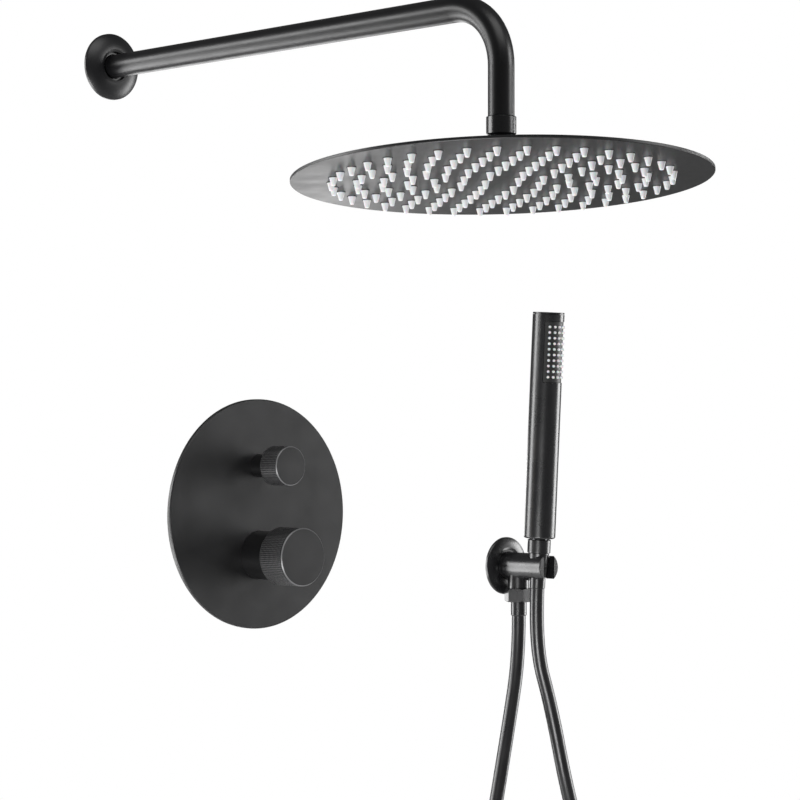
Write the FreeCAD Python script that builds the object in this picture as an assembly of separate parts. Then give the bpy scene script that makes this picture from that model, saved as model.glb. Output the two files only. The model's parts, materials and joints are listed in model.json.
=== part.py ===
import FreeCAD, Part
import math
import os

# Concealed rainfall shower set: an overhead arm with a round rain head, a valve trim with two knobs,
# and a wall outlet that feeds and holds a stick hand shower. All three stand on one wall plane.
# Millimetres. x runs along the wall, y into the wall, z up.
# The origin lies behind the middle of the valve plate.

V = FreeCAD.Vector

# ---- places on the wall
arm_x = -160.0
arm_z = 375.0
outlet_x = 315.0
outlet_z = -56.0

# ---- threads, clearances and the small chamfer on most edges
half_inch_thread_r = 10.478
inlet_thread_length = 15.0
chamfer = 0.4
glide_gap = 0.06
loose_gap = 0.3
snug_gap = 0.05

# ---- overhead arm
arm_reach = 450.0
arm_drop = 81.0
tube_r = 9.5
tube_wall = 1.25
bend_r = 45.0
inlet_bore_r = 6.0
shoulder_length = 6.0
spigot_depth = 14.0

# ---- wall flanges
arm_flange_r = 27.4
arm_flange_rise = 7.4
arm_flange_dip = 3.2
arm_flange_bulge = 0.9
outlet_flange_r = 27.25
outlet_flange_rise = 4.6
outlet_flange_dip = 0.9
outlet_flange_bulge = 0.4
flange_rim = 2.4
flange_skin = 1.4
flange_gap = 0.25
flange_collar_wall = 3.6
flange_recess_wall = 1.2
flange_lift = 0.4
groove_low = 1.2
oring_r = 0.9
oring_squeeze = 0.1

# ---- swivel under the arm
collar_r = 10.7
collar_length = 13.4
collar_gap = 0.4
collar_web = 2.4
end_thread_r = 8.331
end_thread_length = 7.6
stud_neck_r = 5.5
stud_neck_length = 0.9
stud_shoulder_r = 7.9
stud_shoulder_length = 3.2
ball_r = 8.0
stud_bore_r = 3.5
washer_thickness = 1.2

# ---- rain head, heights measured down from the middle of the ball
head_r = 150.0
head_drop = 21.4
head_edge = 2.2
head_lean = 4.2
head_side_lean = 2.3
head_dome_top = 14.0
head_dome_r = 62.0
head_brim = 9.0
sheet = 0.8
plate_sheet = 1.0
mat_thickness = 1.2
mat_margin = 9.0
hub_wall = 7.0
hub_r = ball_r + hub_wall
hub_thread_wall = 3.2
hub_bore_r = 5.0
ball_nut_top = 4.0
ball_nut_web = 1.8
ball_nut_bottom = 9.0
ball_nut_play = 0.45
liner_thickness = 0.6
liner_half_height = 0.5
ball_cup_play = 0.9
hub_foot_r = 18.0
hub_thread_r = 9.8
screen_hole_r = 0.7
nozzle_margin = 29.2
nozzle_outer_ring = head_r - nozzle_margin
nozzle_ring_step = 18.1
nozzle_inner_ring = 12.2
nozzle_inner_limit = 7.5
nozzle_inner_count = 2
nozzles_more_per_ring = 6
nozzle_start_angle = 118.1
nozzle_base_r = 2.85
nozzle_tip_r = 1.3
nozzle_height = 6.0
nozzle_hole_r = 2.2

# ---- valve trim, distances measured out of the wall
plate_r = 100.0
plate_gap = 1.0
plate_thickness = 3.5
plate_bevel = 0.7
plate_play = 0.15
gasket_inset = 6.0
gasket_r = plate_r - gasket_inset
gasket_width = 6.0
gasket_groove = 1.2
knob_bevel = 0.9
knob_wall = 3.0
knob_web = 4.0
knob_boss_wall = 3.2
knob_gap = 0.5
sleeve_wall = 1.5
sleeve_root = 11.5
spindle_socket = 11.0

temperature_z = -36.0
temperature_r = 25.0
temperature_length = 29.5
temperature_sleeve_r = 21.0
temperature_sleeve_out = 32.0
temperature_cartridge_r = 17.0
temperature_neck_r = 14.0
temperature_neck_out = 14.0
temperature_spindle_r = 3.5

diverter_z = 42.0
diverter_r = 17.0
diverter_length = 22.0
diverter_sleeve_r = 10.0
diverter_sleeve_out = 23.5
diverter_cartridge_r = 8.5
diverter_neck_r = 6.5
diverter_neck_out = 8.0
diverter_spindle_r = 2.9
adapter_wall = 1.4
grub_screw_r = 2.0
grub_screw_length = 5.0
grub_key_r = 0.9

# ---- valve body inside the wall, distances measured into the wall
body_front = 12.0
body_depth = 46.0
body_wall = 10.0
body_half_width = temperature_cartridge_r + body_wall
body_margin = 22.0
body_shoulder = 4.0
body_corner_r = 8.0
port_depth = 14.0
port_boss_r = 14.5
port_boss_length = 13.0
port_in = 34.0
passage_r = 5.5
check_valve_r = 9.2
check_valve_length = 6.9
check_valve_bore_r = 4.0
cartridge_depth = 32.0

# ---- wall outlet and holder, distances measured out of the wall
hole_r = 9.25
hole_taper = 0.065
holder_wall = 3.75
outlet_r = hole_r + holder_wall
slot_width = 14.5
boss_r = 10.2
boss_bottom = 20.5
hex_across = 24.0
hex_height = 13.0
nut_to_flange = 0.9
nut_to_hole = 16.25
hole_to_end = 4.75
nut_out = outlet_flange_rise + nut_to_flange + hex_across / 2
hole_out = nut_out + nut_to_hole + hole_r
outlet_length = hole_out + hole_r + hole_to_end
hex_web = 2.0
ferrule_r = 7.7
ferrule_bottom = 47.0
spigot_r = 8.0
spigot_bore_r = 5.0
washer_bore_r = 5.2
washer_gap = 0.02
ferrule_bore_r = 4.5

# ---- hand shower, heights measured up its own axis from the middle of the holder
handset_lean = 3.3
handset_r = 15.0
handset_length = 213.5
handset_wall = 1.6
handset_cap = 1.6
handset_cap_gap = 0.4
panel_from_top = 8.6
panel_recess = 0.7
panel_rows = 10
panel_columns = 5
panel_pitch = 5.25
panel_border = 5.0
panel_side = 19.9
panel_height = panel_rows * panel_pitch + panel_border
panel_half_angle = math.degrees((panel_columns - 1) / 2 * panel_pitch / handset_r) + panel_side
panel_nozzle_r = 1.15
panel_nozzle_rise = 1.5
cone_nut_shoulder = 1.65
cone_nut_r = hole_r + cone_nut_shoulder
cone_nut_lift = 0.4
cone_nut_foot = outlet_r + cone_nut_lift
cone_nut_length = 12.9
cone_nut_gap = 1.2
handset_foot = cone_nut_foot + cone_nut_length + cone_nut_gap
cone_bottom = 8.0
handset_ferrule_r = 7.3
handset_ferrule_bottom = 20.0
handset_thread_r = 7.6

# ---- hose: its route, relative to the outlet's axis on the wall
hose_r = 6.75
hose_route = [
    (0.0, -17.5, -47.0),
    (0.0, -17.5, -88.0),
    (-6.0, -18.4, -150.0),
    (-25.0, -19.6, -232.0),
    (-52.0, -21.5, -325.0),
    (-80.0, -24.0, -415.0),
    (-86.0, -28.0, -495.0),
    (-50.0, -33.5, -548.0),
    (14.0, -40.5, -560.0),
    (78.0, -47.5, -534.0),
    (112.0, -53.0, -468.0),
    (106.0, -57.0, -382.0),
    (72.0, -59.0, -296.0),
    (30.0, -56.5, -212.0),
    (9.0, -47.0, -134.0),
    (0.0, -38.68, -74.88),
]


# ---- frames
def out_of_wall(x, z):
    return FreeCAD.Placement(V(x, 0, z), FreeCAD.Rotation(V(1, 0, 0), 90))


arm_frame = out_of_wall(arm_x, arm_z)
outlet_frame = out_of_wall(outlet_x, outlet_z)
drop_frame = FreeCAD.Placement(V(arm_x, -arm_reach, arm_z), FreeCAD.Rotation())
collar_bottom = arm_drop + collar_gap + collar_length
stud_shoulder_bottom = collar_bottom + stud_shoulder_length
stud_neck_bottom = stud_shoulder_bottom + stud_neck_length
ball_drop = stud_neck_bottom + math.sqrt(ball_r**2 - stud_neck_r**2)
ball_centre = V(arm_x, -arm_reach, arm_z - ball_drop)
head_tilt = FreeCAD.Rotation(V(1, 0, 0), -head_lean)
head_frame = FreeCAD.Placement(ball_centre, head_tilt.multiply(FreeCAD.Rotation(V(0, 1, 0), head_side_lean)))
holder_centre = V(outlet_x, -hole_out, outlet_z)
handset_frame = FreeCAD.Placement(holder_centre, FreeCAD.Rotation(V(1, 0, 0), handset_lean))
nut_frame = FreeCAD.Placement(V(outlet_x, -nut_out, outlet_z), FreeCAD.Rotation())


# ---- building blocks
def put(shape, frame):
    shape.Placement = frame.multiply(shape.Placement)
    return shape


def solid_of(shape):
    if shape.Volume < 0:
        shape.reverse()
    return shape


def turned(steps, frame):
    """A turned piece: (radius, height) corners, where four numbers are an arc's middle and end."""
    first = V(steps[0][0], 0, steps[0][1])
    last = first
    edges = []
    for step in steps[1:]:
        end = V(step[-2], 0, step[-1])
        if end.isEqual(last, 1e-6):
            continue
        if len(step) == 4:
            edges.append(Part.Arc(last, V(step[0], 0, step[1]), end).toShape())
        else:
            edges.append(Part.LineSegment(last, end).toShape())
        last = end
    if not last.isEqual(first, 1e-6):
        edges.append(Part.LineSegment(last, first).toShape())
    face = Part.Face(Part.Wire(edges))
    return put(solid_of(face.revolve(V(0, 0, 0), V(0, 0, 1), 360)), frame)


def ring(inner, outer, low, high, frame):
    return turned([(inner, low), (outer, low), (outer, high), (inner, high)], frame)


def rod(radius, low, high, frame):
    return put(Part.makeCylinder(radius, high - low, V(0, 0, low)), frame)


def oring(middle_r, height, frame):
    return put(Part.makeTorus(middle_r, oring_r, V(0, 0, height)), frame)


def cross_rod(radius, start, end):
    way = end - start
    return Part.makeCylinder(radius, way.Length, start, way)


def arc_middle(start, end, bulge):
    """The point half way along a shallow arc, moved outward by bulge."""
    return ((start[0] + end[0]) / 2 + bulge * 0.3, (start[1] + end[1]) / 2 + bulge)


parts = {}


# ---- overhead arm
def bent_rod(radius, from_wall):
    bend_out = arm_reach - bend_r
    level = cross_rod(radius, V(arm_x, -from_wall, arm_z), V(arm_x, -bend_out, arm_z))
    circle = Part.makeCircle(radius, V(arm_x, -bend_out, arm_z), V(0, 1, 0))
    centre = V(arm_x, -bend_out, arm_z - bend_r)
    bend = solid_of(Part.Face(Part.Wire(circle)).revolve(centre, V(1, 0, 0), 90))
    top = V(arm_x, -arm_reach, arm_z - bend_r)
    drop = cross_rod(radius, top, V(arm_x, -arm_reach, arm_z - arm_drop))
    return level.fuse(bend).fuse(drop).removeSplitter()


tube_bore_r = tube_r - tube_wall
parts["arm_tube"] = bent_rod(tube_r, shoulder_length).cut(bent_rod(tube_bore_r, shoulder_length))


def wall_nipple(shoulder_r, shoulder_out, spigot_radius, spigot_out, frame):
    """Half-inch thread into the wall, a shoulder, and a spigot that the pipe sits on."""
    bevel = 1.0
    return turned(
        [
            (inlet_bore_r, -inlet_thread_length),
            (half_inch_thread_r, -inlet_thread_length),
            (half_inch_thread_r, 0),
            (shoulder_r, 0),
            (shoulder_r, shoulder_out),
            (spigot_radius, shoulder_out),
            (spigot_radius, spigot_out - bevel),
            (spigot_radius - bevel, spigot_out),
            (inlet_bore_r, spigot_out),
        ],
        frame,
    )


parts["arm_wall_nipple"] = wall_nipple(
    tube_r, shoulder_length, tube_bore_r - snug_gap, shoulder_length + spigot_depth, arm_frame
)


def flange(outer_r, rise, pipe_r, dip, bulge, frame):
    """A pressed wall flange: a rim, a dome with a recess round the pipe, and a collar for an O-ring."""
    bore = pipe_r + flange_gap
    collar = pipe_r + flange_collar_wall
    groove_r = pipe_r + 2 * oring_r + oring_squeeze
    crown = collar + 1.0
    recess = collar - flange_recess_wall
    groove_high = groove_low + 2 * oring_r + oring_squeeze
    rim_round = 0.6
    rim_point = (outer_r - rim_round, flange_rim)
    crown_point = (crown, rise)
    inside_rim = (outer_r - flange_skin, flange_rim - flange_skin + chamfer)
    inside_crown = (crown, rise - flange_skin)
    return turned(
        [
            (bore, flange_lift),
            (collar, flange_lift),
            (collar, min(rise - flange_skin - 1.2, groove_high + 0.8)),
            inside_crown,
            (*arc_middle(inside_crown, inside_rim, bulge), *inside_rim),
            (outer_r - flange_skin, 0),
            (outer_r, 0),
            (outer_r, flange_rim - rim_round),
            rim_point,
            (*arc_middle(rim_point, crown_point, bulge), *crown_point),
            (recess + chamfer, rise - chamfer),
            (recess, rise - 2 * chamfer),
            (recess, rise - dip),
            (bore + chamfer, rise - dip),
            (bore, rise - dip - chamfer),
            (bore, groove_high),
            (groove_r, groove_high),
            (groove_r, groove_low),
            (bore, groove_low),
        ],
        frame,
    )


parts["arm_flange"] = flange(
    arm_flange_r, arm_flange_rise, tube_r, arm_flange_dip, arm_flange_bulge, arm_frame
)
flange_oring_height = groove_low + oring_r + oring_squeeze / 2
parts["arm_flange_oring"] = oring(tube_r + snug_gap + oring_r, flange_oring_height, arm_frame)

nipple_bottom = arm_drop + end_thread_length
parts["arm_end_nipple"] = turned(
    [
        (inlet_bore_r, -nipple_bottom),
        (end_thread_r, -nipple_bottom),
        (end_thread_r, -arm_drop),
        (tube_bore_r - snug_gap, -arm_drop),
        (tube_bore_r - snug_gap, -arm_drop + spigot_depth),
        (inlet_bore_r, -arm_drop + spigot_depth),
    ],
    drop_frame,
)

# ---- swivel: a collar screwed on the arm clamps the flange of the ball stud against a washer
collar_top = arm_drop + collar_gap
web_top = collar_bottom - collar_web
parts["swivel_collar"] = turned(
    [
        (end_thread_r + snug_gap, -collar_top),
        (collar_r - chamfer, -collar_top),
        (collar_r, -collar_top - chamfer),
        (collar_r, -collar_bottom + 3 * chamfer),
        (collar_r - 3 * chamfer, -collar_bottom),
        (stud_neck_r + snug_gap, -collar_bottom),
        (stud_neck_r + snug_gap, -web_top),
        (end_thread_r + snug_gap, -web_top),
    ],
    drop_frame,
)
stud_flange_top = nipple_bottom + washer_thickness
stud_flange_r = end_thread_r - 2 * snug_gap
parts["swivel_washer"] = ring(inlet_bore_r - 1.5, stud_flange_r, -stud_flange_top, -nipple_bottom, drop_frame)
stud = ring(stud_bore_r, stud_flange_r, -web_top, -stud_flange_top, drop_frame)
neck = rod(stud_neck_r, -ball_drop, -web_top, drop_frame)
shoulder = turned(
    [
        (0, -stud_shoulder_bottom),
        (stud_shoulder_r - chamfer, -stud_shoulder_bottom),
        (stud_shoulder_r, -stud_shoulder_bottom + chamfer),
        (stud_shoulder_r, -collar_bottom - collar_gap),
        (0, -collar_bottom - collar_gap),
    ],
    drop_frame,
)
ball = put(Part.makeSphere(ball_r), FreeCAD.Placement(ball_centre, FreeCAD.Rotation()))
stud_way = rod(stud_bore_r, -ball_drop - 2 * ball_r, -stud_flange_top, drop_frame)
parts["ball_stud"] = stud.multiFuse([neck, shoulder, ball]).cut(stud_way).removeSplitter()


# ---- rain head, drawn about the ball with the spray side down
def ball_radius_at(height):
    return math.sqrt(ball_r**2 - height**2)


web_low = ball_nut_top - ball_nut_web
hub_neck_r = hub_r - hub_thread_wall
parts["ball_nut"] = turned(
    [
        (hub_neck_r + snug_gap, -ball_nut_bottom),
        (hub_r - chamfer, -ball_nut_bottom),
        (hub_r, -ball_nut_bottom + chamfer),
        (hub_r, ball_nut_top - 1.0),
        (hub_r - 1.0, ball_nut_top),
        (ball_radius_at(ball_nut_top) + ball_nut_play, ball_nut_top),
        (ball_radius_at(web_low) + ball_nut_play, web_low),
        (hub_neck_r + snug_gap, web_low),
    ],
    head_frame,
)
# a thin liner ring, round inside and outside, lets the cup rock on the ball both ways
liner_inner = ball_r + glide_gap
liner_outer = liner_inner + liner_thickness
liner_in_edge = math.sqrt(liner_inner**2 - liner_half_height**2)
liner_out_edge = math.sqrt(liner_outer**2 - liner_half_height**2)
parts["ball_liner"] = turned(
    [
        (liner_in_edge, -liner_half_height),
        (liner_out_edge, -liner_half_height),
        (liner_outer, 0, liner_out_edge, liner_half_height),
        (liner_in_edge, liner_half_height),
        (liner_inner, 0, liner_in_edge, -liner_half_height),
    ],
    head_frame,
)
seat_inner = liner_outer + glide_gap
seat_low = -1.0
seat_top = web_low - snug_gap
seat_middle = (seat_top + seat_low) / 2
seat_outer = hub_neck_r - snug_gap


def seat_radius_at(height):
    return math.sqrt(seat_inner**2 - height**2)


parts["ball_seat_ring"] = turned(
    [
        (seat_radius_at(seat_top), seat_top),
        (seat_radius_at(seat_middle), seat_middle, seat_radius_at(seat_low), seat_low),
        (seat_outer, seat_low),
        (seat_outer, seat_top),
    ],
    head_frame,
)
hub_cup_r = ball_r + ball_cup_play
hub_top = seat_low - snug_gap
hub_floor = ball_r + 0.2
screen_thickness = 1.0
screen_r = hub_bore_r + 1.6
screen_floor = hub_floor + screen_thickness + loose_gap
hub_tail = head_dome_top + 3.2
parts["head_hub"] = turned(
    [
        (hub_cup_r, hub_top),
        (hub_neck_r, hub_top),
        (hub_neck_r, -ball_nut_bottom - 0.2),
        (hub_r, -ball_nut_bottom - 0.2),
        (hub_r, -head_dome_top + 4.0),
        (hub_foot_r, -head_dome_top + 0.8),
        (hub_foot_r, -head_dome_top),
        (hub_thread_r, -head_dome_top),
        (hub_thread_r, -hub_tail),
        (hub_bore_r, -hub_tail),
        (hub_bore_r, -screen_floor),
        (screen_r, -screen_floor),
        (screen_r, -hub_floor),
        (hub_cup_r, -hub_floor),
    ],
    head_frame,
)
seal_r = 1.2
seal_middle_r = hub_cup_r - seal_r - snug_gap
seal_height = -math.sqrt((ball_r + glide_gap + seal_r) ** 2 - seal_middle_r**2)
parts["ball_seal"] = put(Part.makeTorus(seal_middle_r, seal_r, V(0, 0, seal_height)), head_frame)

screen = Part.makeCylinder(screen_r - snug_gap, screen_thickness, V(0, 0, -screen_floor))
screen_holes = []
for ring_r, count in ((0.0, 1), (2.2, 6), (4.2, 12)):
    for k in range(count):
        turn = 2 * math.pi * k / count
        spot = V(ring_r * math.cos(turn), ring_r * math.sin(turn), -screen_floor - screen_thickness)
        screen_holes.append(Part.makeCylinder(screen_hole_r, 3 * screen_thickness, spot))
parts["filter_screen"] = put(screen.cut(screen_holes), head_frame)

dome_foot = (head_r - head_brim, -head_drop + head_edge)
dome_head = (head_dome_r, -head_dome_top)
dome_middle = arc_middle(dome_foot, dome_head, 0.5)
parts["head_top_plate"] = turned(
    [
        (hub_thread_r + snug_gap, -head_dome_top - sheet),
        (dome_head[0], -head_dome_top - sheet),
        (dome_middle[0], dome_middle[1] - sheet, dome_foot[0], dome_foot[1] - sheet),
        (head_r - 1.2, -head_drop + head_edge - sheet),
        (head_r - 1.2, -head_drop),
        (head_r - chamfer, -head_drop),
        (head_r, -head_drop + chamfer),
        (head_r, -head_drop + head_edge - chamfer),
        (head_r - chamfer, -head_drop + head_edge),
        dome_foot,
        (*dome_middle, *dome_head),
        (hub_thread_r + snug_gap, -head_dome_top),
    ],
    head_frame,
)
locknut_top = -head_dome_top - sheet - snug_gap
locknut_height = 1.65
parts["hub_locknut"] = ring(
    hub_thread_r + snug_gap, hub_foot_r - 2.0, locknut_top - locknut_height, locknut_top, head_frame
)


def nozzle_places():
    """Rings of nozzles, each with six more than the ring inside it, all started from one line."""
    places = []
    ring_r = nozzle_outer_ring
    while ring_r > nozzle_inner_limit:
        rings_inside = max(0, round((ring_r - nozzle_inner_ring) / nozzle_ring_step))
        count = nozzle_inner_count + nozzles_more_per_ring * rings_inside
        for k in range(count):
            turn = math.radians(nozzle_start_angle + k * 360 / count)
            places.append((ring_r * math.cos(turn), ring_r * math.sin(turn)))
        ring_r -= nozzle_ring_step
    return places


spray_plate = Part.makeCylinder(head_r - 1.25, plate_sheet, V(0, 0, -head_drop))
holes = [
    Part.makeCylinder(nozzle_hole_r, plate_sheet + 2, V(x, y, -head_drop - 1)) for x, y in nozzle_places()
]
parts["head_spray_plate"] = put(spray_plate.cut(Part.makeCompound(holes)), head_frame)

mat_low = -head_drop + plate_sheet + snug_gap
mat = Part.makeCylinder(nozzle_outer_ring + mat_margin, mat_thickness, V(0, 0, mat_low))
nozzle_root = 0.1
nozzles = []
for x, y in nozzle_places():
    stem_low = -head_drop - nozzle_root
    stem = Part.makeCylinder(nozzle_hole_r - snug_gap, mat_low + chamfer - stem_low, V(x, y, stem_low))
    tip_length = nozzle_height - nozzle_root
    tip = Part.makeCone(nozzle_tip_r, nozzle_base_r, tip_length, V(x, y, -head_drop - nozzle_height))
    nozzles.append(stem.fuse(tip))
parts["head_nozzle_mat"] = put(mat.multiFuse(nozzles), head_frame)

# ---- valve trim
plate_back = plate_gap
plate_front = plate_gap + plate_thickness
valve_frame = out_of_wall(0, 0)
trim_plate = turned(
    [
        (0, plate_back),
        (gasket_r - gasket_width, plate_back),
        (gasket_r - gasket_width, plate_back + gasket_groove),
        (gasket_r, plate_back + gasket_groove),
        (gasket_r, plate_back),
        (plate_r, plate_back),
        (plate_r, plate_front - plate_bevel),
        (plate_r - plate_bevel, plate_front),
        (0, plate_front),
    ],
    valve_frame,
)
for knob_z, sleeve_r in ((temperature_z, temperature_sleeve_r), (diverter_z, diverter_sleeve_r)):
    knob_frame = out_of_wall(0, knob_z)
    trim_plate = trim_plate.cut(rod(sleeve_r + plate_play, 0, plate_front + 1, knob_frame))
    groove_r = sleeve_r + 2 * oring_r + oring_squeeze
    trim_plate = trim_plate.cut(rod(groove_r, 0, plate_back + 2 * oring_r + oring_squeeze, knob_frame))
parts["trim_plate"] = trim_plate
gasket_inner = gasket_r - gasket_width + 2 * snug_gap
gasket_front = plate_back + gasket_groove - snug_gap
parts["plate_gasket"] = ring(gasket_inner, gasket_r - 2 * snug_gap, 0, gasket_front, valve_frame)


def knob_group(name, knob_z, knob_r, length, sleeve_r, sleeve_out, cartridge_r, neck_r, neck_out, spindle_r):
    """One control: cartridge, its nut, sleeve, spindle, spline adapter, knob and grub screw."""
    frame = out_of_wall(0, knob_z)
    knob_back = sleeve_out + knob_gap
    knob_front = knob_back + length
    spindle_end = knob_front - knob_web - 2.0
    parts[name + "_cartridge"] = turned(
        [
            (0, -body_front - cartridge_depth),
            (cartridge_r - 2.0, -body_front - cartridge_depth),
            (cartridge_r, -body_front - cartridge_depth + 2.0),
            (cartridge_r, -body_front),
            (neck_r, -body_front),
            (neck_r, neck_out),
            (spindle_r + glide_gap, neck_out),
            (spindle_r + glide_gap, neck_out - spindle_socket),
            (0, neck_out - spindle_socket),
        ],
        frame,
    )
    sleeve_bore = sleeve_r - sleeve_wall
    parts[name + "_cartridge_nut"] = ring(
        neck_r + snug_gap, sleeve_bore - 0.2, -body_front + 0.05, -body_front + 9.0, frame
    )
    parts[name + "_sleeve"] = turned(
        [
            (sleeve_bore, -sleeve_root),
            (sleeve_r, -sleeve_root),
            (sleeve_r, sleeve_out - chamfer),
            (sleeve_r - chamfer, sleeve_out),
            (sleeve_bore, sleeve_out),
        ],
        frame,
    )
    parts[name + "_sleeve_oring"] = oring(sleeve_r + snug_gap + oring_r, plate_back + oring_r + 0.02, frame)
    spindle_start = neck_out - spindle_socket + loose_gap
    parts[name + "_spindle"] = rod(spindle_r, spindle_start, spindle_end, frame)
    adapter_r = spindle_r + snug_gap + adapter_wall
    adapter_low = knob_back + 4.0
    parts[name + "_spline_adapter"] = ring(spindle_r + snug_gap, adapter_r, adapter_low, spindle_end, frame)
    boss_outer = adapter_r + snug_gap + knob_boss_wall
    boss_bore_end = spindle_end + 0.5
    knob = turned(
        [
            (adapter_r + snug_gap, adapter_low),
            (boss_outer, adapter_low),
            (boss_outer, knob_front - knob_web),
            (knob_r - knob_wall, knob_front - knob_web),
            (knob_r - knob_wall, knob_back),
            (knob_r - knob_bevel, knob_back),
            (knob_r, knob_back + knob_bevel),
            (knob_r, knob_front - knob_bevel),
            (knob_r - knob_bevel, knob_front),
            (0, knob_front),
            (0, boss_bore_end),
            (adapter_r + snug_gap, boss_bore_end),
        ],
        frame,
    )
    screw_out = (adapter_low + spindle_end) / 2
    screw_top = V(0, -screw_out, knob_z - adapter_r - 2 * snug_gap)
    screw_end = screw_top - V(0, 0, grub_screw_length)
    access_end = V(0, -screw_out, knob_z - knob_r - 1.0)
    knob = knob.cut(cross_rod(grub_screw_r + snug_gap, screw_top + V(0, 0, 1.0), access_end))
    screw = cross_rod(grub_screw_r, screw_top, screw_end)
    key_way = cross_rod(grub_key_r, screw_end + V(0, 0, 2.0), screw_end - V(0, 0, 1.0))
    parts[name + "_knob"] = knob
    parts[name + "_grub_screw"] = screw.cut(key_way)


knob_group(
    "temperature",
    temperature_z,
    temperature_r,
    temperature_length,
    temperature_sleeve_r,
    temperature_sleeve_out,
    temperature_cartridge_r,
    temperature_neck_r,
    temperature_neck_out,
    temperature_spindle_r,
)
knob_group(
    "diverter",
    diverter_z,
    diverter_r,
    diverter_length,
    diverter_sleeve_r,
    diverter_sleeve_out,
    diverter_cartridge_r,
    diverter_neck_r,
    diverter_neck_out,
    diverter_spindle_r,
)


# ---- valve body inside the wall
def port(boss_start, way):
    """A boss on the body, its half-inch thread and the passage behind it."""
    boss_end = boss_start + way * port_boss_length
    boss = cross_rod(port_boss_r, boss_start - way * 4.0, boss_end)
    thread = cross_rod(half_inch_thread_r, boss_end - way * port_depth, boss_end + way)
    passage = cross_rod(passage_r, boss_start - way * body_half_width, boss_end - way * 2.0)
    return boss, thread, passage


body_low = temperature_z - body_margin - body_shoulder
body_high = diverter_z + body_margin - body_shoulder
valve_body = Part.makeBox(2 * body_half_width, body_depth, body_high - body_low)
valve_body.translate(V(-body_half_width, body_front, body_low))
upright = [e for e in valve_body.Edges if abs(e.tangentAt(e.FirstParameter).z) > 0.99]
valve_body = valve_body.makeFillet(body_corner_r, upright)
ports = [
    (V(-body_half_width, port_in, temperature_z), V(-1, 0, 0)),
    (V(body_half_width, port_in, temperature_z), V(1, 0, 0)),
    (V(0, port_in, body_high), V(0, 0, 1)),
    (V(body_half_width, port_in, diverter_z), V(1, 0, 0)),
]
cuts = []
for start, way in ports:
    boss, thread, passage = port(start, way)
    valve_body = valve_body.fuse(boss)
    cuts += [thread, passage]
for knob_z, cartridge_r in ((temperature_z, temperature_cartridge_r), (diverter_z, diverter_cartridge_r)):
    chamber = cartridge_depth + 1.0
    cuts.append(rod(cartridge_r + snug_gap, -body_front - chamber, -body_front + 1, out_of_wall(0, knob_z)))
cuts.append(cross_rod(passage_r, V(0, port_in, temperature_z), V(0, port_in, diverter_z)))
thread_floor_x = body_half_width + port_boss_length - port_depth
for side in (-1, 1):
    outer = V(side * (thread_floor_x + 1), port_in, temperature_z)
    inner = V(side * (thread_floor_x - check_valve_length - 0.1), port_in, temperature_z)
    cuts.append(cross_rod(check_valve_r + snug_gap, outer, inner))
parts["valve_body"] = valve_body.cut(cuts).removeSplitter()
check_valves = []
for side in (-1, 1):
    mouth = V(side * thread_floor_x, port_in, temperature_z)
    valve = cross_rod(check_valve_r, mouth - V(side * (check_valve_length + snug_gap), 0, 0), mouth)
    hole_start = mouth - V(side * (check_valve_length + 2), 0, 0)
    check_valves.append(valve.cut(cross_rod(check_valve_bore_r, hole_start, mouth + V(side, 0, 0))))
parts["inlet_check_valves"] = Part.makeCompound(check_valves)

# ---- wall outlet and holder
nipple_spigot_r = 9.5
nipple_spigot_out = 8.0
parts["outlet_wall_nipple"] = wall_nipple(
    nipple_spigot_r, 2.0, nipple_spigot_r, nipple_spigot_out, outlet_frame
)


def hole_radius(height):
    return hole_r + hole_taper * height


outlet_back = 0.6
outlet_bevel = 0.7
hole_reach = outlet_r + 4.0
outlet_body = turned(
    [
        (0, outlet_back),
        (outlet_r, outlet_back),
        (outlet_r, outlet_length - outlet_bevel),
        (outlet_r - outlet_bevel, outlet_length),
        (0, outlet_length),
    ],
    outlet_frame,
)
outlet_body = outlet_body.fuse(rod(boss_r, -boss_bottom, -outlet_r / 2, nut_frame))
cone = put(
    Part.makeCone(hole_radius(-hole_reach), hole_radius(hole_reach), 2 * hole_reach, V(0, 0, -hole_reach)),
    handset_frame,
)
slot = Part.makeBox(slot_width, outlet_length - hole_out + 2, 2 * hole_reach)
slot.translate(V(outlet_x - slot_width / 2, -outlet_length - 2, outlet_z - hole_reach))
spigot_top = 6.5
waterways = [
    rod(nipple_spigot_r + snug_gap, -1, nipple_spigot_out + 0.2, outlet_frame),
    rod(passage_r, 0, nut_out, outlet_frame),
    rod(spigot_r + snug_gap, -boss_bottom - 1, -spigot_top, nut_frame),
    rod(passage_r, -boss_bottom, 0, nut_frame),
]
parts["outlet_body"] = outlet_body.cut([cone, slot] + waterways).removeSplitter()
parts["outlet_flange"] = flange(
    outlet_flange_r, outlet_flange_rise, outlet_r, outlet_flange_dip, outlet_flange_bulge, outlet_frame
)
parts["outlet_flange_oring"] = oring(outlet_r + snug_gap + oring_r, flange_oring_height, outlet_frame)

# ---- hose end at the outlet: spigot, washer, hexagon nut and ferrule
hex_top = boss_bottom + 0.2
hex_bottom = hex_top + hex_height
ferrule_head = hex_bottom - hex_web
washer_low = ferrule_head - 1.4
spigot_low = washer_low - 1.5
washer_r = boss_r - 0.2
parts["outlet_hose_spigot"] = turned(
    [
        (spigot_bore_r, -spigot_low),
        (boss_r - chamfer, -spigot_low),
        (boss_r, -spigot_low + chamfer),
        (boss_r, -boss_bottom),
        (spigot_r, -boss_bottom),
        (spigot_r, -spigot_top - 0.2),
        (spigot_bore_r, -spigot_top - 0.2),
    ],
    nut_frame,
)
parts["hose_washer_outlet"] = ring(washer_bore_r, washer_r, -washer_low, -spigot_low - washer_gap, nut_frame)
corner_r = hex_across / math.sqrt(3)
corners = [
    V(corner_r * math.cos(math.radians(60 * k)), corner_r * math.sin(math.radians(60 * k)), -hex_bottom)
    for k in range(7)
]
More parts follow.
